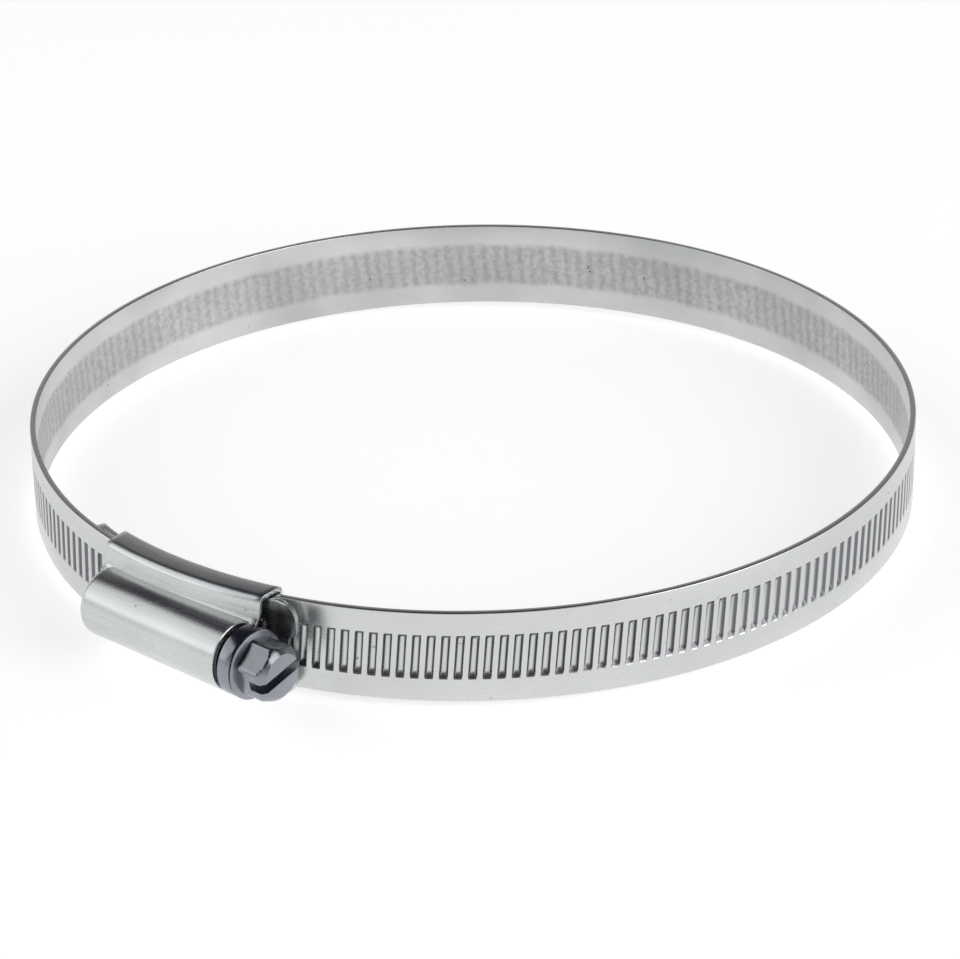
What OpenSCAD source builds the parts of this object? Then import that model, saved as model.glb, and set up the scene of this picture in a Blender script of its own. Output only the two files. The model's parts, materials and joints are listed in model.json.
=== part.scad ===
// Worm-drive hose clamp in stainless steel: a slotted strip bent to a ring, a pressed housing
// that holds both ends of the strip, and a captive worm screw that feeds the free end through it.
// Millimetres. The ring's axis is Z, the screw lies along X on the -Y side, its head towards +X.
// The strip is flexible, so its ring is cut into short arcs hinged on the strip's inner face.

/* [Band] */
// inner diameter of the ring with the clamp opened to its largest size
loop_d = 120.8; // [100.6:0.1:145]
// width of the strip
band_w = 12.7; // [10.5:0.1:15.3]
// thickness of the strip
band_t = 0.85; // [0.7:0.05:1.05]
// free air between the two layers of the strip inside the housing
layer_gap = 0.05; // [0.02:0.01:0.12]
// how far the fixed end of the strip sticks out past the housing
tongue_len = 6.6; // [3:0.1:9]
// how far the free end of the strip sticks out past the housing
tab_len = 3.3; // [2:0.1:8]

/* [Grooves] */
// distance from one pressed groove to the next along the strip
groove_pitch = 1.83; // [1.52:0.01:2.2]
// length of a groove across the strip
groove_len = 6.3; // [5:0.1:8]
// width of a groove along the strip
groove_w = 1.15; // [0.9:0.01:1.3]
// lean of a groove from upright, the worm's helix angle
groove_lean = 4.6; // [2:0.1:8]

/* [Housing] */
// length of the saddle that wraps the strip
saddle_len = 26; // [21.5:0.1:31.5]
// length of the barrel over the worm
barrel_len = 24.2; // [20:0.1:29]
// thickness of the pressed sheet
sheet_t = 0.65; // [0.5:0.05:0.8]
// how far the housing's middle sits towards the screw head from the ring's lowest point
housing_x = 4.45; // [0:0.05:6]

/* [Screw] */
// outside radius of the worm thread
worm_r = 3.5; // [2.9:0.05:4.2]
// distance the worm bites into the strip's outer face
worm_bite = 0.5; // [0.3:0.05:0.55]
// radius of the collar and of the flange under the head
collar_r = 4.6; // [4:0.05:5]
// width across the flats of the head
head_af = 7; // [6:0.1:8]
// length of the head past its flange
head_len = 4.4; // [3.8:0.1:6]
// width of the screwdriver slot
slot_w = 1.4; // [0.8:0.1:1.8]
// depth of the screwdriver slot
slot_depth = 2.4; // [1:0.1:3.5]

/* [Hidden] */
$fn = 96;
eps = 0.01;
joint_gap = 0.02;
ring_r = loop_d / 2;
outer_r = ring_r + band_t;
// the two layers of strip inside the housing, and how far the outer one stands off the ring
lift = band_t + layer_gap;
stack = band_t + lift;
groove_depth = worm_bite + 0.1;
// grooves are spaced on the worm's pitch line, just under the strip's outer face
pitch_r = outer_r - worm_bite / 2;
groove_a = groove_pitch / pitch_r * 180 / PI;
// the saddle's ends, and where the ring meets it, as angles about the ring's axis
saddle_x0 = housing_x - saddle_len / 2;
saddle_x1 = housing_x + saddle_len / 2;
exit_a = -90 + asin(saddle_x1 / ring_r);
entry_a = -90 + asin(saddle_x0 / ring_r);
// the outer layer leaves the ring at free_a, this far behind the entry
free_lead = 25;
free_a = entry_a - free_lead;
// it swings outwards about free_a until it clears the ring at the exit, and the inner layer
// swings inwards about the exit until the two are the same distance apart at the entry
outer_tilt = -asin(lift / (ring_r * sin(exit_a - free_a)));
inner_tilt = -asin(lift * (1 - sin(free_lead) / sin(exit_a - free_a))
    / (ring_r * sin(exit_a - entry_a)));
// the rest of the ring is short arcs, each a whole number of grooves long
link_count = 8;
grooves_per_link = floor((free_a + 360 - exit_a - 3) / (link_count * groove_a));
link_a = groove_a * grooves_per_link;
first_a = free_a - link_a * link_count + 360;
exit_p = [ring_r * cos(exit_a), ring_r * sin(exit_a)];
free_p = [ring_r * cos(free_a), ring_r * sin(free_a)];
// lowest point of the outer layer's own circle, which is nearest the worm
outer_cx = free_p[0] - ring_r * cos(free_a + outer_tilt);
outer_cy = free_p[1] - ring_r * sin(free_a + outer_tilt);
worm_y = outer_cy - outer_r + worm_bite - worm_r;
barrel_x0 = housing_x - barrel_len / 2;
barrel_x1 = housing_x + barrel_len / 2;
bore_r = worm_r + 0.25;
barrel_r = bore_r + sheet_t + 0.2;
saddle_h = band_w + 2 * sheet_t + 0.5;
tab_a = tab_len / ring_r * 180 / PI;

// the tongue curls inwards past the housing, and the free tip is set outwards
tongue_r = 26.5;
tab_bend = -14;
// the worm's runs along X, and the groove its crest sits in at rest
thread_x0 = barrel_x0 + 1.6;
thread_x1 = barrel_x1 - 0.6;
collar_x0 = barrel_x1 + 0.75;
head_x0 = collar_x0 + 2.65;
root_r = worm_r - 0.65;
nose_r = 1.9;
thread_slices = round((thread_x1 - thread_x0) / groove_pitch * 12);
meshed = round((-90 - free_a - outer_tilt) / groove_a - 0.5);
crest_x = outer_cx + pitch_r * cos(free_a + outer_tilt + (meshed + 0.5) * groove_a);
// turn of the hexagon, and of the slot, from upright
head_turn = 12;
slot_turn = 12;

sheet_c = [0.80, 0.82, 0.82];
strip_c = [0.74, 0.76, 0.76];
screw_c = [0.52, 0.54, 0.58];

// turn what follows by a degrees about a point of the ring
module about(p, a) {
    translate([p[0], p[1], 0]) rotate([0, 0, a]) translate([-p[0], -p[1], 0]) children();
}

// plain arc of strip between two angles
module strip_arc(a0, a1, w = band_w) {
    rotate([0, 0, a0]) rotate_extrude(angle = a1 - a0)
        translate([ring_r, -w / 2]) square([band_t, w]);
}

// pressed grooves in the outer face, n of them, the first half a pitch past a0
module grooves(a0, n) {
    for (i = [0 : n - 1])
        rotate([0, 0, a0 + (i + 0.5) * groove_a])
            translate([outer_r - groove_depth, 0, 0]) rotate([-groove_lean, 0, 0])
                translate([0, -groove_w / 2, -groove_len / 2])
                    cube([groove_depth + 1, groove_w, groove_len]);
}

// one short arc of the ring, between two hinge lines on the strip's inner face
module band_link(i) {
    trim = joint_gap / 2 / ring_r * 180 / PI;
    a0 = first_a + i * link_a;
    color(strip_c) difference() {
        strip_arc(a0 + trim, a0 + link_a - trim);
        grooves(a0, grooves_per_link);
    }
}

// corners cut off the end of a strip of inner radius r, at angle a
module corner_cuts(r, a, c) {
    for (m = [0, 1]) mirror([0, 0, m])
        rotate([0, 0, a]) translate([r + band_t / 2, 0, band_w / 2])
            rotate([45, 0, 0]) cube([4, c * sqrt(2), c * sqrt(2)], center = true);
}

// start of the ring, between the housing and the first hinge
module band_start() {
    trim = joint_gap / 2 / ring_r * 180 / PI;
    n = floor((first_a - exit_a) / groove_a - 0.2);
    color(strip_c) difference() {
        strip_arc(exit_a + trim, first_a - trim);
        grooves(first_a - n * groove_a, n);
    }
}

// fixed end of the strip: the inner layer in the housing, and the tongue curling on past it
module band_fixed() {
    trim = joint_gap / ring_r * 180 / PI;
    n = floor((exit_a - entry_a) / groove_a - 0.6);
    tongue_a = tongue_len / tongue_r * 180 / PI;
    color(strip_c) about(exit_p, inner_tilt) difference() {
        union() {
            strip_arc(entry_a, exit_a - trim);
            rotate([0, 0, entry_a]) translate([ring_r - tongue_r, 0, 0])
                rotate([0, 0, -tongue_a]) rotate_extrude(angle = tongue_a)
                    translate([tongue_r, -band_w / 2]) square([band_t, band_w]);
        }
        grooves(exit_a - n * groove_a - 0.4, n);
        rotate([0, 0, entry_a]) translate([ring_r - tongue_r, 0, 0])
            corner_cuts(tongue_r, -tongue_a, 1.6);
    }
}

// free end of the strip: from the last hinge, through the housing, to the tip beside the head
module band_free() {
    trim = joint_gap / 2 / ring_r * 180 / PI;
    bend_p = [(ring_r + band_t) * cos(exit_a + 0.9), (ring_r + band_t) * sin(exit_a + 0.9)];
    tip_a = exit_a + tab_a;
    n = floor((exit_a + 0.6 - free_a) / groove_a);
    color(strip_c) about(free_p, outer_tilt) {
        difference() {
            strip_arc(free_a + trim, exit_a + 0.9);
            grooves(free_a, n);
        }
        about(bend_p, tab_bend) difference() {
            strip_arc(exit_a + 0.88, tip_a);
            corner_cuts(ring_r, tip_a, 0.9);
            rotate([0, 0, tip_a]) translate([ring_r + band_t / 2, 0, 0]) rotate([0, 90, 0])
                cylinder(r = 2, h = 4, center = true);
        }
    }
}

// saddle cross-section in radius and height, half of it, closed on the mid-plane
function saddle_half(s) = [
    [ring_r - joint_gap - sheet_t, s * saddle_h / 2],
    [ring_r + stack + 1.15, s * (saddle_h / 2 - 0.45)],
    [ring_r + stack + 1.6, s * (saddle_h / 2 - 1.05)],
    [ring_r + stack + 2.2, s * (barrel_r - 0.25)],
    [ring_r + stack + 2.95, s * (bore_r - 0.25)]
];
// the room inside it for the two layers of strip and the worm
function channel_half(s) = [
    [ring_r - joint_gap, s * (saddle_h / 2 - sheet_t - 0.1)],
    [ring_r + stack + 0.3, s * (saddle_h / 2 - sheet_t - 0.15)],
    [ring_r + stack + 0.9, s * (saddle_h / 2 - sheet_t - 0.65)],
    [ring_r + stack + 1.5, s * (barrel_r - 0.5)],
    [ring_r + stack + 1.5, s * (bore_r - 0.45)],
    [ring_r + stack + 3.05, s * (bore_r - 0.45)]
];
function flipped(p) = [for (i = [len(p) - 1 : -1 : 0]) p[i]];

module saddle_sweep(p, grow) {
    about(exit_p, inner_tilt) rotate([0, 0, entry_a - 3 - grow])
        rotate_extrude(angle = exit_a - entry_a + 6 + 2 * grow) polygon(p);
}

// the pressed housing: barrel round the worm, flanks, and the saddle closed inside the ring
module housing() {
    color(sheet_c) difference() {
        union() {
            intersection() {
                saddle_sweep(concat(saddle_half(1), flipped(saddle_half(-1))), 0);
                translate([saddle_x0, -ring_r - 20, -saddle_h])
                    cube([saddle_len, 30, 2 * saddle_h]);
            }
            barrel();
        }
        saddle_sweep(concat(channel_half(1), flipped(channel_half(-1))), 4);
        translate([barrel_x0 + 0.7, worm_y, 0]) rotate([0, 90, 0])
            cylinder(r = bore_r, h = barrel_len + 5);
        translate([barrel_x0 - 3, worm_y, 0]) rotate([0, 90, 0])
            cylinder(r = nose_r + 0.2, h = 6);
        // notch that lets the collar turn between the flanks
        translate([barrel_x1, worm_y, 0]) rotate([0, 90, 0])
            cylinder(r = collar_r + 0.15, h = 5);
        // butt seam where the two halves of the saddle meet under the strip
        about(exit_p, inner_tilt) rotate([0, 0, entry_a - 4])
            rotate_extrude(angle = exit_a - entry_a + 8)
                translate([ring_r - joint_gap - sheet_t - 0.1, -0.1]) square([0.35, 0.2]);
    }
}

// barrel with its far end rolled in
module barrel() {
    round_r = 1.1;
    translate([barrel_x0, worm_y, 0]) rotate([0, 90, 0]) rotate_extrude()
        polygon(concat(
            [[0, 0]],
            [for (a = [-90 : 15 : 0])
                [barrel_r - round_r + round_r * cos(a), round_r + round_r * sin(a)]],
            [[barrel_r, barrel_len], [0, barrel_len]]));
}

// outline of the worm's thread square to its axis; the crest faces angle 0
crest_a = 50;
root_a = 92;
function worm_outline() = concat(
    [for (i = [-3 : 3]) let (a = crest_a * i / 3) [worm_r * cos(a), worm_r * sin(a)]],
    [for (i = [0 : 12]) let (a = root_a + (360 - 2 * root_a) * i / 12)
        [root_r * cos(a), root_r * sin(a)]]);

// worm screw: nose, thread, neck, collar, flange and slotted hexagon head
module worm_screw() {
    color(screw_c) translate([0, worm_y, 0]) rotate([0, 90, 0]) {
        translate([0, 0, barrel_x0 + 0.15]) cylinder(r = nose_r, h = thread_x0 - barrel_x0 + 0.4);
        translate([0, 0, thread_x0]) rotate([0, 0, 90 + 360 * (thread_x0 - crest_x) / groove_pitch])
            linear_extrude(height = thread_x1 - thread_x0, slices = thread_slices,
                twist = -360 * (thread_x1 - thread_x0) / groove_pitch, $fn = 20) polygon(worm_outline());
        translate([0, 0, thread_x1 - 0.3]) cylinder(r = bore_r - 0.15, h = collar_x0 - thread_x1 + 0.3);
        translate([0, 0, collar_x0]) cylinder(r = collar_r, h = 2.1);
        translate([0, 0, collar_x0 + 2.1]) cylinder(r = collar_r - 0.35, h = 0.15);
        translate([0, 0, collar_x0 + 2.25]) cylinder(r = collar_r + 0.05, h = 0.4);
        difference() {
            intersection() {
                translate([0, 0, head_x0]) rotate([0, 0, head_turn])
                    cylinder(r = head_af / 2 / cos(30), h = head_len, $fn = 6);
                translate([0, 0, head_x0 - 1]) rotate_extrude() polygon([
                    [0, 0], [head_af * 0.595, 0], [head_af * 0.595, head_len - 1.1],
                    [head_af / 2 - 0.55, head_len + 1], [0, head_len + 1]]);
            }
            translate([0, 0, head_x0 + head_len - slot_depth]) rotate([0, 0, slot_turn])
                translate([-slot_w / 2, -10, 0]) cube([slot_w, 20, 10]);
        }
    }
}

module band_link_01() { band_link(0); }
module band_link_02() { band_link(1); }
module band_link_03() { band_link(2); }
module band_link_04() { band_link(3); }
module band_link_05() { band_link(4); }
module band_link_06() { band_link(5); }
module band_link_07() { band_link(6); }
module band_link_08() { band_link(7); }

housing();
worm_screw();
band_fixed();
band_start();
band_link_01();
band_link_02();
band_link_03();
band_link_04();
band_link_05();
band_link_06();
band_link_07();
band_link_08();
band_free();
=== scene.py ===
"""Worm-drive hose clamp: strip, pressed housing and captive screw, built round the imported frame."""
import json
import math

import bmesh
import bpy
from mathutils import Matrix, Quaternion, Vector


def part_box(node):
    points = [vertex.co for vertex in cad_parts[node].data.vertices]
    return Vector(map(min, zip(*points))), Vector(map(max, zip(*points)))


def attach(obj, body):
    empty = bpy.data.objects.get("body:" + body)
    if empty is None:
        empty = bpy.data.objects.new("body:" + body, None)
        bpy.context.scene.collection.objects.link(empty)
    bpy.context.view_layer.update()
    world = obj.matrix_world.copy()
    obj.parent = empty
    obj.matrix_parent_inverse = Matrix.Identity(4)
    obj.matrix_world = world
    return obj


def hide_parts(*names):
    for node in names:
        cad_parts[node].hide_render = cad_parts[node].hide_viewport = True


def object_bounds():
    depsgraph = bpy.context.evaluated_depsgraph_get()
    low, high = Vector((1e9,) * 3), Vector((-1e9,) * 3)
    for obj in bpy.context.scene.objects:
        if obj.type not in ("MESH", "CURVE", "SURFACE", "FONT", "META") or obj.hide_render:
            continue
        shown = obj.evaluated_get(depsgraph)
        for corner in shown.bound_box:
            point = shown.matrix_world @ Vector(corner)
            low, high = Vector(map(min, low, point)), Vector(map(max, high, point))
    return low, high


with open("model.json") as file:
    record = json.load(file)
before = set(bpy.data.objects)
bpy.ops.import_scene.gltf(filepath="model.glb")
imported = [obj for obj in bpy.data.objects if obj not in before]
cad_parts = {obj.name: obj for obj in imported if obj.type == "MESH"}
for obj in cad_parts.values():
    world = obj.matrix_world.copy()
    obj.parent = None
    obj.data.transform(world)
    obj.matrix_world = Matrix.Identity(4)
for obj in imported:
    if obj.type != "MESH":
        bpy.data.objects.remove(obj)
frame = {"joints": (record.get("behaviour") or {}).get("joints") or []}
cad_box = [list(corner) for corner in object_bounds()]

# ---------------------------------------------------------------- sizes, millimetres and degrees
MM = 0.001
FLEX = [j for j in frame["joints"] if j["name"].startswith("band_flex")]
LINKS = [j["child"] for j in FLEX[:-1]]


def hinge_angle(joint):
    """Where a hinge of the strip lies round the ring, in degrees."""
    return math.degrees(math.atan2(joint["pos_m"][1], joint["pos_m"][0]))


RING_R = math.hypot(*FLEX[0]["pos_m"][:2]) / MM
STRIP_T = 0.85
STRIP_W = 12.7
SHEET_T = 0.65
LAYER_GAP = 0.05
FIRST_A = hinge_angle(FLEX[0])
FREE_A = hinge_angle(FLEX[-1])
LINK_A = (FREE_A + 360 - FIRST_A) / len(LINKS)
GROOVES_PER_LINK = 22
GROOVE_A = LINK_A / GROOVES_PER_LINK
GROOVE_DEPTH = 0.6
GROOVE_HALF = 3.15
GROOVE_LEAN = 4.6
# each arc laps the next by a hair, so that no light passes between them
SEAM_LAP = 0.004

saddle_lo, saddle_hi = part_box("housing")
screw_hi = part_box("worm_screw")[1]
SADDLE_X0, SADDLE_X1 = saddle_lo.x / MM, saddle_hi.x / MM
HALF_H = saddle_hi.z / MM
EXIT_A = -90 + math.degrees(math.asin(SADDLE_X1 / RING_R))
ENTRY_A = -90 + math.degrees(math.asin(SADDLE_X0 / RING_R))
LIFT = STRIP_T + LAYER_GAP
OUTER_TILT = -math.degrees(math.asin(LIFT / (RING_R * math.sin(math.radians(EXIT_A - FREE_A)))))
INNER_TILT = -math.degrees(math.asin(
    LIFT * (1 - math.sin(math.radians(ENTRY_A - FREE_A)) / math.sin(math.radians(EXIT_A - FREE_A)))
    / (RING_R * math.sin(math.radians(EXIT_A - ENTRY_A)))))

TURN = next(j for j in frame["joints"] if j["name"] == "screw_turn")
WORM_Y = TURN["pos_m"][1] / MM
GROOVE_PITCH = 1.83
WORM_R = 3.5
ROOT_R = 2.85
BORE_R = 3.75
BARREL_R = 4.6
BARREL_LEN = 24.2
BARREL_X0 = (SADDLE_X0 + SADDLE_X1 - BARREL_LEN) / 2
BARREL_X1 = BARREL_X0 + BARREL_LEN
# half the angle left open towards the strip, and the rounding of the rolled-in end
BARREL_OPEN = 57
ROLL_R = 1.3
NOSE_R = 1.9
NECK_R = BORE_R - 0.15
COLLAR_R = 4.6
COLLAR_X0 = BARREL_X1 + 0.75
HEAD_X0 = COLLAR_X0 + 2.65
HEAD_X1 = screw_hi.x / MM
HEAD_AF = 7.0
HEAD_TURN = 12
SLOT_W = 1.4
SLOT_DEPTH = 2.4
SLOT_TURN = 12
TONGUE_LEN = 6.6
TONGUE_R = 26.5
TONGUE_CORNER = 2.2
TAB_LEN = 3.3
TAB_BEND = 20
TAB_CORNER = 1.9
TAB_NOTCH = 1.5
NOTCH_HALF = 2.1


def ring_point(angle, radius=RING_R):
    a = math.radians(angle)
    return Vector((radius * math.cos(a), radius * math.sin(a), 0))


def about(point, angle):
    """A turn by angle degrees round an upright line through point."""
    return (Matrix.Translation(point) @ Matrix.Rotation(math.radians(angle), 4, "Z")
            @ Matrix.Translation(-point))


# ---------------------------------------------------------------- materials
def socket(group, name, kind, way, default=None):
    s = group.interface.new_socket(name=name, in_out=way, socket_type=kind)
    if default is not None:
        s.default_value = default
    return s


class Nodes:
    """Short hand for adding nodes to a tree and joining them."""

    def __init__(self, tree):
        self.tree = tree

    def add(self, kind, inputs=None, **settings):
        n = self.tree.nodes.new(kind)
        for k, v in settings.items():
            setattr(n, k, v)
        for k, v in (inputs or {}).items():
            if isinstance(v, bpy.types.NodeSocket):
                self.tree.links.new(v, n.inputs[k])
            else:
                n.inputs[k].default_value = v
        return n

    def math(self, op, a, b=0.0, c=0.0, clamp=False):
        n = self.add("ShaderNodeMath", {0: a, 1: b, 2: c}, operation=op, use_clamp=clamp)
        return n.outputs[0]

    def ramp(self, value, lo, hi, to_lo=0.0, to_hi=1.0):
        n = self.add("ShaderNodeMapRange", {"Value": value, "From Min": lo, "From Max": hi,
                                            "To Min": to_lo, "To Max": to_hi})
        return n.outputs["Result"]

    def mix(self, factor, a, b, blend="MIX"):
        n = self.add("ShaderNodeMix", data_type="RGBA", blend_type=blend)
        for i, v in ((0, factor), (6, a), (7, b)):
            if isinstance(v, bpy.types.NodeSocket):
                self.tree.links.new(v, n.inputs[i])
            else:
                n.inputs[i].default_value = v
        return n.outputs[2]


def steel_surface_group():
    """Tone, roughness and relief of a steel surface: soft cast, drawn lines, pits and wear marks."""
    g = bpy.data.node_groups.new("steel_surface", "ShaderNodeTree")
    socket(g, "Place", "NodeSocketVector", "INPUT")
    socket(g, "Along", "NodeSocketVector", "INPUT")
    socket(g, "Color", "NodeSocketColor", "INPUT", (0.7, 0.7, 0.7, 1))
    socket(g, "Cast", "NodeSocketFloat", "INPUT", 0.1)
    socket(g, "Lines", "NodeSocketFloat", "INPUT", 0.1)
    socket(g, "Pits", "NodeSocketFloat", "INPUT", 0.3)
    socket(g, "Scratches", "NodeSocketFloat", "INPUT", 0.3)
    socket(g, "Roughness", "NodeSocketFloat", "INPUT", 0.25)
    socket(g, "Color", "NodeSocketColor", "OUTPUT")
    socket(g, "Roughness", "NodeSocketFloat", "OUTPUT")
    socket(g, "Height", "NodeSocketFloat", "OUTPUT")
    n = Nodes(g)
    given = n.add("NodeGroupInput").outputs
    out = n.add("NodeGroupOutput")
    cast = n.add("ShaderNodeTexNoise", {"Vector": given["Place"], "Scale": 110.0, "Detail": 3.0,
                                        "Roughness": 0.55}).outputs["Fac"]
    lines = n.add("ShaderNodeTexNoise", {"Vector": given["Along"], "Scale": 1.0, "Detail": 2.0,
                                         "Roughness": 0.6}).outputs["Fac"]
    grit = n.add("ShaderNodeTexNoise", {"Vector": given["Place"], "Scale": 3200.0, "Detail": 2.0}
                 ).outputs["Fac"]
    # pits: small dark dots, only where a wider noise lets them gather
    cells = n.add("ShaderNodeTexVoronoi", {"Vector": given["Place"], "Scale": 700.0,
                                           "Randomness": 1.0}, feature="F1").outputs["Distance"]
    gather = n.add("ShaderNodeTexNoise", {"Vector": given["Place"], "Scale": 230.0, "Detail": 2.0}
                   ).outputs["Fac"]
    dots = n.math("MULTIPLY", n.ramp(cells, 0.16, 0.08), n.ramp(gather, 0.56, 0.68))
    # scratches: thin lines where a stretched noise crosses its middle value
    turned = n.add("ShaderNodeMapping", {"Vector": given["Place"], "Rotation": (0.5, 0.9, 0.6),
                                         "Scale": (1.0, 7.0, 7.0)}).outputs["Vector"]
    wander = n.add("ShaderNodeTexNoise", {"Vector": turned, "Scale": 70.0, "Detail": 1.0}).outputs["Fac"]
    off = n.math("ABSOLUTE", n.math("SUBTRACT", wander, 0.5))
    rub = n.math("MULTIPLY", n.ramp(off, 0.004, 0.001), n.ramp(gather, 0.42, 0.55))
    pits = n.math("MULTIPLY", dots, given["Pits"], clamp=True)
    marks = n.math("MULTIPLY", rub, given["Scratches"], clamp=True)
    tone = n.math("ADD", n.math("MULTIPLY", n.math("SUBTRACT", cast, 0.5), given["Cast"]),
                  n.math("MULTIPLY", n.math("SUBTRACT", lines, 0.5), given["Lines"]))
    bright = n.math("ADD", 1.0, tone)
    bright = n.math("SUBTRACT", bright, n.math("MULTIPLY", pits, 0.75))
    bright = n.math("ADD", bright, n.math("MULTIPLY", marks, 0.12))
    grey = n.add("ShaderNodeCombineColor", {0: bright, 1: bright, 2: bright}).outputs[0]
    n.tree.links.new(n.mix(1.0, given["Color"], grey, "MULTIPLY"), out.inputs["Color"])
    rough = n.math("ADD", given["Roughness"], n.math("MULTIPLY", tone, 0.35))
    rough = n.math("ADD", rough, n.math("MULTIPLY", pits, 0.4))
    rough = n.math("ADD", rough, n.math("MULTIPLY", marks, 0.12), clamp=True)
    n.tree.links.new(rough, out.inputs["Roughness"])
    height = n.math("ADD", n.math("MULTIPLY", lines, 0.5), n.math("MULTIPLY", grit, 0.3))
    height = n.math("SUBTRACT", height, n.math("MULTIPLY", pits, 1.2))
    height = n.math("SUBTRACT", height, n.math("MULTIPLY", marks, 0.6))
    n.tree.links.new(height, out.inputs["Height"])
    return g


STEEL = steel_surface_group()


def steel(name, color, place, along, cast, lines, pits, scratches, rough, relief=0.3, shade=None):
    """A steel material round the shared surface group. place and along make coordinates from nodes."""
    m = bpy.data.materials.new(name)
    m.use_nodes = True
    tree = m.node_tree
    tree.nodes.clear()
    n = Nodes(tree)
    coords = n.add("ShaderNodeTexCoord").outputs["Object"]
    where = place(n, coords)
    drawn = along(n, coords)
    base = color
    if shade:
        base, rough = shade(n, coords, color, rough)
    g = n.add("ShaderNodeGroup", {}, node_tree=STEEL)
    for key, v in (("Place", where), ("Along", drawn), ("Color", base), ("Cast", cast), ("Lines", lines),
                   ("Pits", pits), ("Scratches", scratches), ("Roughness", rough)):
        if isinstance(v, bpy.types.NodeSocket):
            tree.links.new(v, g.inputs[key])
        else:
            g.inputs[key].default_value = v
    bump = n.add("ShaderNodeBump", {"Strength": relief, "Distance": 0.00002, "Height": g.outputs["Height"]})
    bsdf = n.add("ShaderNodeBsdfPrincipled", {"Metallic": 1.0, "Base Color": g.outputs["Color"],
                                              "Roughness": g.outputs["Roughness"],
                                              "Normal": bump.outputs["Normal"]})
    n.add("ShaderNodeOutputMaterial", {"Surface": bsdf.outputs[0]})
    return m


def plain(n, coords):
    return coords


def round_ring(n, coords):
    """Fine lines that run round the ring: angle slow, height quick."""
    s = n.add("ShaderNodeSeparateXYZ", {0: coords}).outputs
    a = n.math("ARCTAN2", s[1], s[0])
    return n.add("ShaderNodeCombineXYZ", {0: n.math("MULTIPLY", a, 9.0),
                                          1: n.math("MULTIPLY", s[2], 9000.0), 2: 0.0}).outputs[0]


def along_x(n, coords):
    return n.add("ShaderNodeMapping", {"Vector": coords, "Scale": (120.0, 4200.0, 4200.0)}).outputs[0]


def round_screw(n, coords):
    """Turning marks: quick along the screw, slow round it."""
    return n.add("ShaderNodeMapping", {"Vector": coords, "Scale": (6500.0, 150.0, 150.0)}).outputs[0]


def strip_shade(n, coords, color, rough):
    """Rougher inner face, painted darker with painted lighter patches for the shade and lights it would
    reflect, with a mottled middle; groove walls painted darker as shade in the recesses.
    """
    depth = n.add("ShaderNodeAttribute", attribute_name="depth").outputs["Fac"]
    s = n.add("ShaderNodeSeparateXYZ", {0: coords}).outputs
    inside = n.ramp(depth, -0.4, -0.6)
    wavy = n.add("ShaderNodeTexNoise", {"Vector": coords, "Scale": 260.0, "Detail": 2.0}).outputs["Fac"]
    edge = n.math("ADD", n.math("ABSOLUTE", s[2]), n.math("MULTIPLY", n.math("SUBTRACT", wavy, 0.5), 0.0009))
    middle = n.ramp(edge, 3.6 * MM, 2.8 * MM)
    a = n.math("ARCTAN2", s[1], s[0])
    lean = n.math("MULTIPLY", s[2], math.tan(math.radians(GROOVE_LEAN)) / (RING_R * MM))
    turn = n.math("MULTIPLY", n.math("SUBTRACT", a, lean), math.tau / math.radians(GROOVE_A))
    bars = n.ramp(n.math("SINE", n.math("ADD", turn, n.math("MULTIPLY", wavy, 3.0))), -0.6, 0.9)
    mottle = n.add("ShaderNodeTexNoise", {"Vector": coords, "Scale": 1500.0, "Detail": 4.0,
                                          "Roughness": 0.65}).outputs["Fac"]
    matt = n.math("MULTIPLY", n.math("MULTIPLY", inside, middle),
                  n.ramp(n.math("ADD", n.math("MULTIPLY", bars, 0.16), mottle), 0.40, 0.75, 0.35, 1.0))
    # painted reflection and painted shade: cloudy patches switch the inner face between a darker painted
    # shade tone and a lighter painted reflection tone
    painted_reflection_patches = n.add("ShaderNodeTexNoise", {"Vector": coords, "Scale": 38.0, "Detail": 3.0}).outputs["Fac"]
    bright = n.mix(n.ramp(painted_reflection_patches, 0.35, 0.65), INNER_PAINTED_SHADE, INNER_PAINTED_REFLECTION)
    tone_with_painted_shade = n.mix(inside, color, bright)
    tone_with_painted_shade = n.mix(n.math("MULTIPLY", matt, 0.55), tone_with_painted_shade, (0.27, 0.275, 0.27, 1))
    # painted shade: the groove walls are darkened towards near black, as shade falls in the recesses
    wall = n.math("MULTIPLY", n.ramp(depth, 0.04, 0.25), n.ramp(depth, 0.985, 0.70))
    tone_with_painted_shade = n.mix(n.math("MULTIPLY", wall, 0.80), tone_with_painted_shade, (0.07, 0.07, 0.09, 1))
    rough_in = n.math("ADD", rough, n.math("MULTIPLY", inside, 0.08))
    return tone_with_painted_shade, n.math("ADD", rough_in, n.math("MULTIPLY", matt, 0.2))


# inner face tones: painted shade for the shaded floor it would reflect, and a lighter painted reflection of
# the lights it would catch
INNER_PAINTED_SHADE = (0.50, 0.51, 0.51, 1)
INNER_PAINTED_REFLECTION = (0.68, 0.69, 0.68, 1)
strip_steel = steel("strip_steel", (0.62, 0.635, 0.625, 1), plain, round_ring, 0.12, 0.10, 0.6, 0.5, 0.27,
                    0.35, strip_shade)
sheet_steel = steel("sheet_steel", (0.60, 0.615, 0.615, 1), plain, along_x, 0.24, 0.26, 0.4, 0.6, 0.27, 0.45)
screw_steel = steel("screw_steel", (0.30, 0.31, 0.34, 1), plain, round_screw, 0.7, 0.16, 0.9, 0.6, 0.24,
                    0.6)


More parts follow.
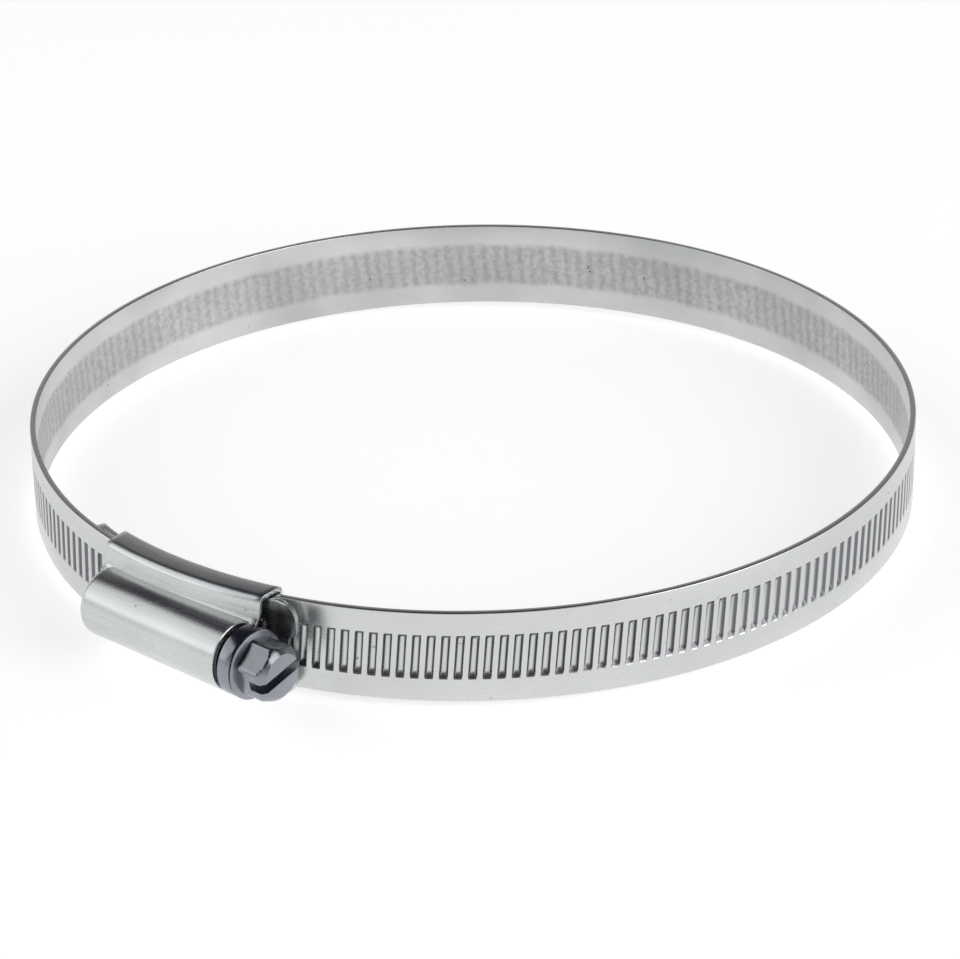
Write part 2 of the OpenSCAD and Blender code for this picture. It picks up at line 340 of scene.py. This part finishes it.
# ---------------------------------------------------------------- making pieces
def finish_piece(name, bm, material, body, stands_for=(), sharp=32, turn=None, recalc=True):
    """Scales a bmesh from millimetres, gives it its material, and lets it ride on its body."""
    if turn is not None:
        bmesh.ops.transform(bm, matrix=turn, verts=bm.verts)
    bmesh.ops.scale(bm, vec=(MM, MM, MM), verts=bm.verts)
    if recalc:
        bmesh.ops.recalc_face_normals(bm, faces=bm.faces)
    mesh = bpy.data.meshes.new(name)
    for f in bm.faces:
        f.smooth = True
    bm.to_mesh(mesh)
    bm.free()
    mesh.set_sharp_from_angle(angle=math.radians(sharp))
    mesh.materials.append(material)
    o = bpy.data.objects.new(name, mesh)
    bpy.context.scene.collection.objects.link(o)
    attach(o, body)
    if stands_for:
        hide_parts(*stands_for)
    return o


def profile(bm, points, closed=True):
    """A chain of vertices and edges in the XZ plane."""
    vs = [bm.verts.new((x, 0, z)) for x, z in points]
    es = [bm.edges.new((vs[i], vs[i + 1])) for i in range(len(vs) - 1)]
    if closed:
        es.append(bm.edges.new((vs[-1], vs[0])))
    return vs, es


def corner(cx, cz, r, a0, a1, steps=3):
    """Points of a rounded corner."""
    return [(cx + r * math.cos(math.radians(a0 + (a1 - a0) * i / steps)),
             cz + r * math.sin(math.radians(a0 + (a1 - a0) * i / steps))) for i in range(steps + 1)]


# strip section: distance out from the ring's inner face, and height
OUT_EDGE = 0.16
IN_EDGE = 0.12
GROOVE_ROWS = [(-3.15, 0.0), (-2.70, 0.55), (-2.20, 1.0), (2.45, 1.0), (2.85, 0.6), (3.15, 0.0)]
# across one groove pitch: distance from the groove's middle, and share of its depth
GROOVE_COLUMNS = [(-0.915, 0.0), (-0.575, 0.0), (-0.44, 0.62), (-0.22, 0.93), (0.0, 1.0), (0.22, 0.93),
                  (0.44, 0.62), (0.575, 0.0)]


def strip_section(extra_rows=()):
    """Closed outline of the strip's section, with rows on its outer face where grooves need them."""
    h = STRIP_W / 2
    rows = sorted([z for z, _ in GROOVE_ROWS] + list(extra_rows))
    pts = corner(STRIP_T - OUT_EDGE, -h + OUT_EDGE, OUT_EDGE, -90, 0)
    pts += [(STRIP_T, z) for z in rows]
    pts += corner(STRIP_T - OUT_EDGE, h - OUT_EDGE, OUT_EDGE, 0, 90)
    pts += corner(IN_EDGE, h - IN_EDGE, IN_EDGE, 90, 180)
    pts += [(0.0, z) for z in reversed(rows)]
    pts += corner(IN_EDGE, -h + IN_EDGE, IN_EDGE, 180, 270)
    return pts


def groove_columns(first, count):
    """Angles of the columns of count grooves, the first starting at first, with their depths."""
    per_mm = GROOVE_A / GROOVE_PITCH
    return [(first + (i + 0.5) * GROOVE_A + x * per_mm, depth) for i in range(count)
            for x, depth in GROOVE_COLUMNS]


def strip_bmesh(columns, radius=RING_R, extra_rows=(), reach=None):
    """A strip swept round the ring through the given columns (angle, groove depth share)."""
    bm = bmesh.new()
    section = strip_section(extra_rows)
    vs, es = profile(bm, [(radius + out, z) for out, z in section])
    steps = len(columns) - 1
    sweep = 3.0
    bmesh.ops.spin(bm, geom=vs + es, cent=(0, 0, 0), axis=(0, 0, 1), angle=sweep, steps=steps)
    share = dict(GROOVE_ROWS)
    lean = math.tan(math.radians(GROOVE_LEAN))
    mark = bm.verts.layers.float.new("depth")
    for v in bm.verts:
        column = round(math.atan2(v.co.y, v.co.x) / sweep * steps)
        angle, depth = columns[column]
        r, z = math.hypot(v.co.x, v.co.y), v.co.z
        if r > radius + STRIP_T - 0.01:
            z_key = min(share, key=lambda k: abs(k - z))
            row = share[z_key] if abs(z_key - z) < 0.01 else (1.0 if abs(z) < 2.2 else 0.0)
            r -= GROOVE_DEPTH * min(row, depth)
            v[mark] = min(row, depth)
        elif r < radius + 0.01:
            v[mark] = -1.0
        fade = 1 if abs(z) <= GROOVE_HALF else max(0.0, (STRIP_W / 2 - abs(z)) / (STRIP_W / 2 - GROOVE_HALF))
        angle += math.degrees(z * lean * fade / (radius + STRIP_T))
        place = ring_point(angle, r)
        v.co = (place.x, place.y, z)
        if reach:
            reach(v, angle, r)
    ends = [e for e in bm.edges if e.is_boundary]
    caps = bmesh.ops.holes_fill(bm, edges=ends, sides=0)["faces"]
    # each end face is cut into one piece a row, so it keeps to the leaning edge
    for cap in [list(f.verts) for f in caps]:
        for row in sorted(list(share) + list(extra_rows)):
            pair = [v for v in cap if abs(v.co.z - row) < 0.001]
            if len(pair) == 2:
                bmesh.ops.connect_verts(bm, verts=pair)
    return bm


def plain_columns(a0, a1, step=0.45):
    count = max(1, math.ceil(abs(a1 - a0) / step))
    return [(a0 + (a1 - a0) * i / count, 0.0) for i in range(count + 1)]


for i, link in enumerate(LINKS):
    start = FIRST_A + i * LINK_A
    cols = groove_columns(start, GROOVES_PER_LINK) + [(start + LINK_A + SEAM_LAP, 0.0)]
    finish_piece("strip_" + link[-2:], strip_bmesh(cols), strip_steel, link, [link])

# from the housing to the first hinge
count = math.floor((FIRST_A - EXIT_A) / GROOVE_A - 0.2)
cols = plain_columns(EXIT_A, FIRST_A - count * GROOVE_A)[:-1]
cols += groove_columns(FIRST_A - count * GROOVE_A, count) + [(FIRST_A, 0.0)]
finish_piece("strip_start", strip_bmesh(cols), strip_steel, "housing", ["band_start"])

# the fixed end: inner layer through the housing, then the tongue curling inwards
tongue_middle = ring_point(ENTRY_A, RING_R - TONGUE_R)


def curl_tongue(v, angle, r):
    """Past the entry the strip bends to the tongue's tighter circle, with its corners rounded off."""
    past = ENTRY_A - angle
    if past <= 0:
        return
    run = math.radians(past) * RING_R
    z = abs(v.co.z)
    start = STRIP_W / 2 - TONGUE_CORNER
    if z > start:
        lost = TONGUE_CORNER - math.sqrt(max(0.0, TONGUE_CORNER ** 2 - (z - start) ** 2))
        run *= (TONGUE_LEN - lost) / TONGUE_LEN
    a = math.radians(ENTRY_A) - run / TONGUE_R
    out = TONGUE_R + r - RING_R
    v.co.x = tongue_middle.x + out * math.cos(a)
    v.co.y = tongue_middle.y + out * math.sin(a)


TONGUE_A = math.degrees(TONGUE_LEN / RING_R)
cols = plain_columns(ENTRY_A - TONGUE_A, EXIT_A - 0.01)
finish_piece("strip_fixed", strip_bmesh(cols, extra_rows=(-6.0, -5.5, -4.8, -4.1, 4.1, 4.8, 5.5, 6.0),
                                        reach=curl_tongue),
             strip_steel, "housing", ["band_fixed"], turn=about(ring_point(EXIT_A), INNER_TILT))

# the free end: outer layer through the housing, then the tab set outwards
BEND_A = EXIT_A + 0.4


def shape_tab(v, angle, r):
    """Past the housing the strip turns outwards, and its tip has two rounded lobes and a notch."""
    past = math.radians(angle - BEND_A) * RING_R
    if past <= 0:
        return
    z = abs(v.co.z)
    start = STRIP_W / 2 - TAB_CORNER
    lost = 0.0
    if z > start:
        lost = TAB_CORNER - math.sqrt(max(0.0, TAB_CORNER ** 2 - (z - start) ** 2))
    if z < NOTCH_HALF:
        lost = TAB_NOTCH * (1 - (z / NOTCH_HALF) ** 2) ** 0.5
    run = past * (TAB_LEN - lost) / TAB_LEN
    ease = 1.0
    rise = run * run / (2 * ease) if run < ease else run - ease / 2
    place = ring_point(BEND_A + math.degrees(run / RING_R), r + rise * math.tan(math.radians(TAB_BEND)))
    v.co.x, v.co.y = place.x, place.y


count = math.floor((EXIT_A + 0.6 - FREE_A) / GROOVE_A)
TIP_A = BEND_A + math.degrees(TAB_LEN / RING_R)
cols = groove_columns(FREE_A, count)
cols += plain_columns(FREE_A + count * GROOVE_A, TIP_A, 0.3)
finish_piece("strip_free", strip_bmesh(cols, extra_rows=(-6.0, -5.5, -4.8, -4.3, -1.5, 0.0, 1.5, 4.3,
                                                         4.8, 5.5, 6.0), reach=shape_tab),
             strip_steel, "free_end", ["band_free"], turn=about(ring_point(FREE_A), OUTER_TILT))


# ---------------------------------------------------------------- housing
def lathe(points, steps=72, angle=360.0, start=0.0):
    """Turns an outline of (x, radius) round the screw's axis. Closed outline for less than a full turn."""
    bm = bmesh.new()
    full = angle >= 360
    vs, es = profile(bm, points, closed=True)
    bmesh.ops.rotate(bm, verts=bm.verts, cent=(0, 0, 0),
                     matrix=Matrix.Rotation(math.radians(start), 3, "X"))
    bmesh.ops.spin(bm, geom=vs + es, cent=(0, 0, 0), axis=(1, 0, 0), angle=math.radians(angle),
                   steps=steps, use_merge=full)
    if full:
        bmesh.ops.remove_doubles(bm, verts=bm.verts, dist=0.0005)
    else:
        bmesh.ops.holes_fill(bm, edges=[e for e in bm.edges if e.is_boundary], sides=0)
    return bm


STACK = 2 * STRIP_T + LAYER_GAP
barrel_outline = (
    [(BARREL_X1 - 0.12, BARREL_R)] + [(x, BARREL_R) for x in (12.0, 6.0, 0.0)]
    + [(BARREL_X0 + ROLL_R - ROLL_R * math.sin(math.radians(a)),
        BARREL_R - ROLL_R + ROLL_R * math.cos(math.radians(a))) for a in range(0, 91, 10)]
    + [(BARREL_X0, 2.5), (BARREL_X0 + 0.15, 2.2), (BARREL_X0 + 0.6, 2.15), (BARREL_X0 + 0.65, 2.9),
       (BARREL_X0 + 1.3, BORE_R)]
    + [(BARREL_X1 - 0.1, BORE_R), (BARREL_X1, BORE_R + 0.1), (BARREL_X1, BARREL_R - 0.12)])
# the opening towards the strip is left out of the turn
barrel = lathe(barrel_outline, 96, 360 - 2 * BARREL_OPEN, start=-90 + BARREL_OPEN)
bmesh.ops.translate(barrel, verts=barrel.verts, vec=(0, WORM_Y, 0))
finish_piece("housing_barrel", barrel, sheet_steel, "housing", ["housing"])

# saddle: a flat blank pressed to its section, then curved to the ring
IN_R = RING_R - 0.02 - SHEET_T
saddle_outline = (
    [(IN_R, 0.06), (IN_R, 2.0), (IN_R, 4.0), (IN_R, 5.6)]
    + corner(IN_R + 0.75, HALF_H - 0.75, 0.75, 180, 90, 5)
    + [(IN_R + 1.8, HALF_H - 0.02)]
    + corner(RING_R + STACK + 0.45, HALF_H - 1.25, 1.2, 88, 8, 7)
    + [(RING_R + STACK + 1.72, HALF_H - 2.0), (RING_R + STACK + 1.95, 4.4), (RING_R + STACK + 2.3, 3.95),
       (RING_R + STACK + 2.85, 3.6)])
SADDLE_STEPS = 28
saddle_turn = about(ring_point(EXIT_A), INNER_TILT)
saddle_middle = saddle_turn @ Vector((0, 0, 0))


def saddle_half(side):
    """One half of the saddle, as the outer skin of its sheet."""
    bm = bmesh.new()
    rows = len(saddle_outline) - 1
    bmesh.ops.create_grid(bm, x_segments=SADDLE_STEPS, y_segments=rows, size=1.0)
    for v in bm.verts:
        x = SADDLE_X0 + (v.co.x + 1) / 2 * (SADDLE_X1 - SADDLE_X0)
        r, z = saddle_outline[round((v.co.y + 1) / 2 * rows)]
        dx = x - saddle_middle.x
        v.co = (x, saddle_middle.y - math.sqrt(r * r - dx * dx), side * z)
    bmesh.ops.recalc_face_normals(bm, faces=bm.faces)
    top = max(bm.faces, key=lambda f: side * f.calc_center_median().z)
    if side * top.normal.z < 0:
        bmesh.ops.reverse_faces(bm, faces=bm.faces)
    return bm


for side, name in ((1, "housing_saddle_upper"), (-1, "housing_saddle_lower")):
    o = finish_piece(name, saddle_half(side), sheet_steel, "housing", ["housing"], sharp=50, recalc=False)
    wall = o.modifiers.new("sheet", "SOLIDIFY")
    wall.thickness = SHEET_T * MM
    wall.offset = -1
    edge = o.modifiers.new("edge", "BEVEL")
    edge.width = 0.07 * MM
    edge.segments = 2
    edge.limit_method = "ANGLE"
    edge.angle_limit = math.radians(60)


# ---------------------------------------------------------------- screw
shaft_outline = [
    # nose, thread root and neck
    (BARREL_X0 + 0.15, 0.0), (BARREL_X0 + 0.15, NOSE_R - 0.4), (BARREL_X0 + 0.45, NOSE_R),
    (BARREL_X0 + 1.5, NOSE_R), (BARREL_X0 + 2.0, ROOT_R), (BARREL_X1 - 0.9, ROOT_R),
    (BARREL_X1 - 0.6, NECK_R), (COLLAR_X0, NECK_R),
    # collar
    (COLLAR_X0, COLLAR_R - 0.15), (COLLAR_X0 + 0.18, COLLAR_R), (COLLAR_X0 + 1.85, COLLAR_R),
    (COLLAR_X0 + 2.05, COLLAR_R - 0.1), (COLLAR_X0 + 2.1, COLLAR_R - 0.35),
    # flange under the head
    (COLLAR_X0 + 2.22, COLLAR_R - 0.35), (COLLAR_X0 + 2.28, COLLAR_R - 0.1),
    (COLLAR_X0 + 2.42, COLLAR_R + 0.04), (COLLAR_X0 + 2.55, COLLAR_R + 0.02), (HEAD_X0, COLLAR_R - 0.2),
    (HEAD_X0 + 0.1, 3.2), (HEAD_X0 + 0.1, 0.0)]
shaft = lathe(shaft_outline, 96)
bmesh.ops.translate(shaft, verts=shaft.verts, vec=(0, WORM_Y, 0))
finish_piece("screw_shaft", shaft, screw_steel, "screw", ["worm_screw"])

# thread: a ridge turned and moved along at once
THREAD_X0, THREAD_X1 = BARREL_X0 + 1.6, BARREL_X1 - 0.6
thread = bmesh.new()
vs, es = profile(thread, [(-0.52, ROOT_R - 0.1), (-0.26, WORM_R), (0.26, WORM_R), (0.52, ROOT_R - 0.1)])
turns = (THREAD_X1 - THREAD_X0 - 1.1) / GROOVE_PITCH
per_turn = 36
steps = round(turns * per_turn)
bmesh.ops.rotate(thread, verts=thread.verts, cent=(0, 0, 0), matrix=Matrix.Rotation(0.6, 3, "X"))
bmesh.ops.translate(thread, verts=thread.verts, vec=(THREAD_X0 + 0.55, 0, 0))
bmesh.ops.spin(thread, geom=vs + es, cent=(0, 0, 0), axis=(1, 0, 0), angle=math.tau * turns, steps=steps,
               dvec=(GROOVE_PITCH / per_turn, 0, 0))
bmesh.ops.holes_fill(thread, edges=[e for e in thread.edges if e.is_boundary], sides=0)
bmesh.ops.translate(thread, verts=thread.verts, vec=(0, WORM_Y, 0))
finish_piece("screw_thread", thread, screw_steel, "screw", ["worm_screw"])

# hexagon head: a round bar drawn to a hexagon, its end turned off by a cone
HEAD_SIDES = 96
CHAMFER_LEN = 1.5
CHAMFER_R = 4.2
CHAMFER_DROP = 1.25
SLOT_FLOOR = HEAD_X1 - SLOT_DEPTH


def hexagon(angle):
    """Radius of the hexagon at an angle from one of its flats' middles."""
    a = (angle + 30) % 60 - 30
    return HEAD_AF / 2 / math.cos(math.radians(a))


def chamfer(x):
    """Radius of the turned end at x, falling quicker towards the face."""
    t = max(0.0, x - (HEAD_X1 - CHAMFER_LEN)) / CHAMFER_LEN
    return CHAMFER_R - CHAMFER_DROP * t ** 1.3


def head_bmesh(x0, x1, stations):
    """The head between two places along it."""
    bm = bmesh.new()
    made = bmesh.ops.create_circle(bm, cap_ends=False, segments=HEAD_SIDES, radius=1.0)
    bmesh.ops.rotate(bm, verts=made["verts"], cent=(0, 0, 0), matrix=Matrix.Rotation(math.pi / 2, 3, "Y"))
    bmesh.ops.translate(bm, verts=made["verts"], vec=(x0, 0, 0))
    first = list(bm.edges)
    edges = first
    for x in stations:
        ext = bmesh.ops.extrude_edge_only(bm, edges=edges)["geom"]
        new = [g for g in ext if isinstance(g, bmesh.types.BMVert)]
        edges = [g for g in ext if isinstance(g, bmesh.types.BMEdge)
                 and all(v in new for v in g.verts)]
        for v in new:
            v.co.x = x
    for v in bm.verts:
        a = math.degrees(math.atan2(v.co.z, v.co.y))
        flat = hexagon(a - HEAD_TURN)
        # the hexagon's long edges are a little rounded
        r = min(flat, HEAD_AF / 2 / math.cos(math.radians(30)) - 0.12, chamfer(v.co.x))
        k = r / math.hypot(v.co.y, v.co.z)
        v.co.y *= k
        v.co.z *= k
    bmesh.ops.holes_fill(bm, edges=first, sides=0)
    bmesh.ops.holes_fill(bm, edges=[e for e in bm.edges if e.is_boundary], sides=0)
    return bm


HEAD_STATIONS = [HEAD_X1 - CHAMFER_LEN * (1 - t)
                 for t in (0.0, 0.15, 0.3, 0.45, 0.58, 0.7, 0.8, 0.88, 0.95, 1.0)]
lower = head_bmesh(HEAD_X0, SLOT_FLOOR, [SLOT_FLOOR])
bmesh.ops.translate(lower, verts=lower.verts, vec=(0, WORM_Y, 0))
finish_piece("screw_head_base", lower, screw_steel, "screw", ["worm_screw"], sharp=25)
slot_across = Vector((0, -math.sin(math.radians(SLOT_TURN)), math.cos(math.radians(SLOT_TURN))))
for side, name in ((1, "screw_head_upper_jaw"), (-1, "screw_head_lower_jaw")):
    jaw = head_bmesh(SLOT_FLOOR, HEAD_X1, HEAD_STATIONS)
    bmesh.ops.bisect_plane(jaw, geom=jaw.verts[:] + jaw.edges[:] + jaw.faces[:],
                           plane_co=slot_across * side * SLOT_W / 2, plane_no=slot_across * side,
                           clear_inner=True)
    bmesh.ops.holes_fill(jaw, edges=[e for e in jaw.edges if e.is_boundary], sides=0)
    bmesh.ops.translate(jaw, verts=jaw.verts, vec=(0, WORM_Y, 0))
    o = finish_piece(name, jaw, screw_steel, "screw", ["worm_screw"], sharp=25)
    edge = o.modifiers.new("edge", "BEVEL")
    edge.width = 0.12 * MM
    edge.segments = 2
    edge.limit_method = "ANGLE"
    edge.angle_limit = math.radians(40)


# ---------------------------------------------------------------- stage, light and camera
def floor_material():
    m = bpy.data.materials.new("pale_floor")
    m.use_nodes = True
    n = Nodes(m.node_tree)
    bsdf = m.node_tree.nodes["Principled BSDF"]
    bsdf.inputs["Base Color"].default_value = (0.82, 0.82, 0.82, 1)
    bsdf.inputs["Roughness"].default_value = 0.9
    bsdf.inputs["Emission Color"].default_value = (1, 1, 1, 1)
    bsdf.inputs["Emission Strength"].default_value = 0.64
    return m


floor_bm = bmesh.new()
bmesh.ops.create_grid(floor_bm, x_segments=1, y_segments=1, size=6.0)
floor_mesh = bpy.data.meshes.new("floor")
floor_bm.to_mesh(floor_mesh)
floor_bm.free()
floor_mesh.materials.append(floor_material())
floor = bpy.data.objects.new("floor", floor_mesh)
floor.location.z = cad_box[0][2] - 0.0002
bpy.context.scene.collection.objects.link(floor)

world = bpy.data.worlds.new("studio")
bpy.context.scene.world = world
world.use_nodes = True
wn = Nodes(world.node_tree)
world.node_tree.nodes.clear()
facing = wn.add("ShaderNodeTexCoord").outputs["Generated"]
up = wn.add("ShaderNodeSeparateXYZ", {0: facing}).outputs[2]
sky = wn.add("ShaderNodeValToRGB", {0: wn.ramp(up, -1.0, 1.0)})
stops = sky.color_ramp.elements
stops[0].position, stops[0].color = 0.0, (0.9, 0.9, 0.9, 1)
stops[1].position, stops[1].color = 1.0, (0.02, 0.02, 0.05, 1)
for place, tone in ((0.50, 0.85), (0.62, 0.62), (0.74, 0.25), (0.84, 0.04)):
    e = stops.new(place)
    e.color = (tone, tone, tone * 1.02, 1)
back = wn.add("ShaderNodeBackground", {"Color": sky.outputs[0], "Strength": 1.0})
wn.add("ShaderNodeOutputWorld", {"Surface": back.outputs[0]})


def softbox(name, place, target, size, power):
    light = bpy.data.lights.new(name, "AREA")
    light.shape = "RECTANGLE"
    light.size, light.size_y = size
    light.energy = power
    o = bpy.data.objects.new(name, light)
    o.location = place
    o.rotation_mode = "QUATERNION"
    o.rotation_quaternion = (Vector(target) - Vector(place)).to_track_quat("-Z", "Y")
    bpy.context.scene.collection.objects.link(o)


softbox("softbox_left", (-0.9, -0.9, 0.9), (0, 0, 0), (1.4, 1.4), 6)
softbox("softbox_right", (1.1, 0.2, 0.6), (0, 0, 0), (1.0, 1.0), 7)

# camera: place and aim in metres, roll in degrees
CAMERA_PLACE = (0.3128, -0.3586, 0.2373)
CAMERA_AIM = (0.00062, 0.00054, -0.00627)
CAMERA_LENS = 142.79
CAMERA_ROLL = -1.04
camera = bpy.data.cameras.new("camera")
camera.sensor_width = 36
camera.lens = CAMERA_LENS
camera.clip_start, camera.clip_end = 0.01, 50
view = bpy.data.objects.new("camera", camera)
view.location = CAMERA_PLACE
aim = Vector(CAMERA_AIM) - Vector(CAMERA_PLACE)
view.rotation_mode = "QUATERNION"
view.rotation_quaternion = aim.to_track_quat("-Z", "Y") @ Quaternion((0, 0, 1), math.radians(CAMERA_ROLL))
bpy.context.scene.collection.objects.link(view)
bpy.context.scene.camera = view
bpy.context.scene.view_settings.view_transform = "Standard"
